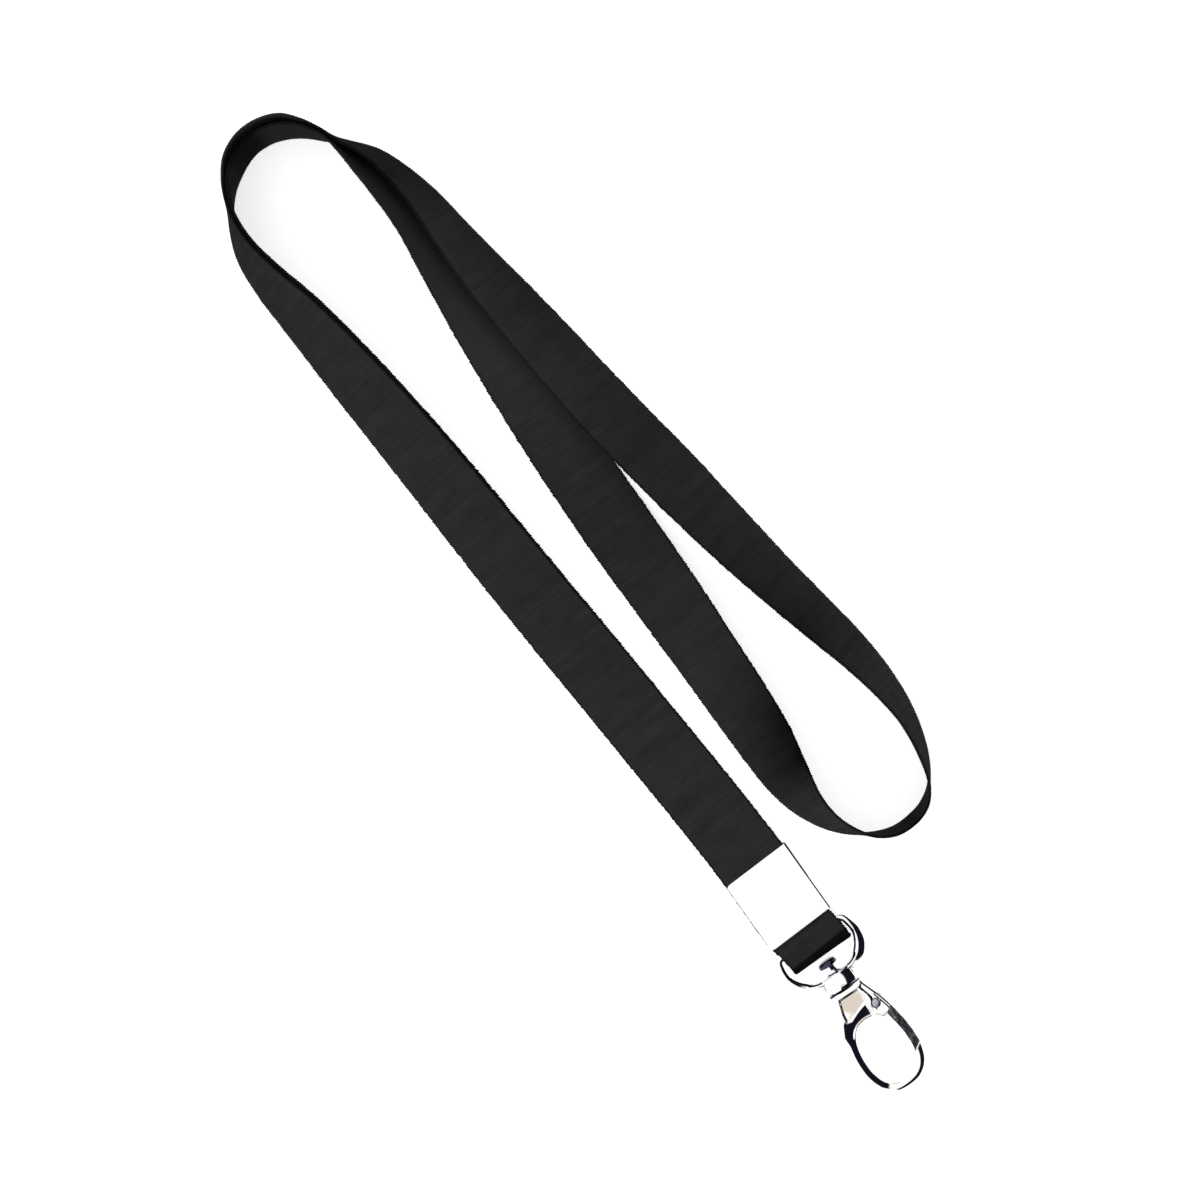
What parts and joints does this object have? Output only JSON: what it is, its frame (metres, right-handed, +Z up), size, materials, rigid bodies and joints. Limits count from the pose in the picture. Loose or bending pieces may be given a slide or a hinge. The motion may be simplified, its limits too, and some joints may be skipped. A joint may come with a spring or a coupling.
{
  "type": "lanyard",
  "caption": "Neck lanyard of black ribbed webbing with a folded metal crimp and an oval swivel hook, lying doubled on a table.",
  "frame": {"origin": "middle of the object's box, on the table it lies on", "axes": "+Y runs from the hook up the webbing, the object's longest extent; +Z is up from the table, its shortest; +X is to the right of the crimp, on the side of its spine"},
  "size_m": [0.0833, 0.3186, 0.0202],
  "materials": {
    "webbing": "ribbed polyester weave, matt black",
    "polished_nickel": "polished nickel plate",
    "plain_steel": "drawn steel"
  },
  "bodies": {
    "strap": {"webbing_strap": "webbing", "crimp_plate": "polished_nickel"},
    "eye": {"swivel_eye": "polished_nickel"},
    "hook": {"swivel_stud": "polished_nickel", "hook_body": "polished_nickel", "gate_pin": "plain_steel", "gate_spring": "plain_steel"},
    "gate": {"hook_gate": "polished_nickel"}
  },
  "joints": [
    {"name": "eye_swing", "type": "hinge", "parent": "strap", "child": "eye", "pos_m": [-0.02024, -0.11057, 0.0034], "axis": [1, 0, 0], "range_deg": [-120, 105]},
    {"name": "hook_swivel", "type": "hinge", "parent": "eye", "child": "hook", "pos_m": [-0.02024, -0.12477, 0.0034], "axis": [0, 1, 0], "continuous": true},
    {"name": "gate_open", "type": "hinge", "parent": "hook", "child": "gate", "pos_m": [-0.01559, -0.13542, 0.0034], "axis": [0, 0, 1], "range_deg": [-27, 0], "stiffness_Nm_per_rad": 0.055, "springref_deg": 25.78}
  ]
}
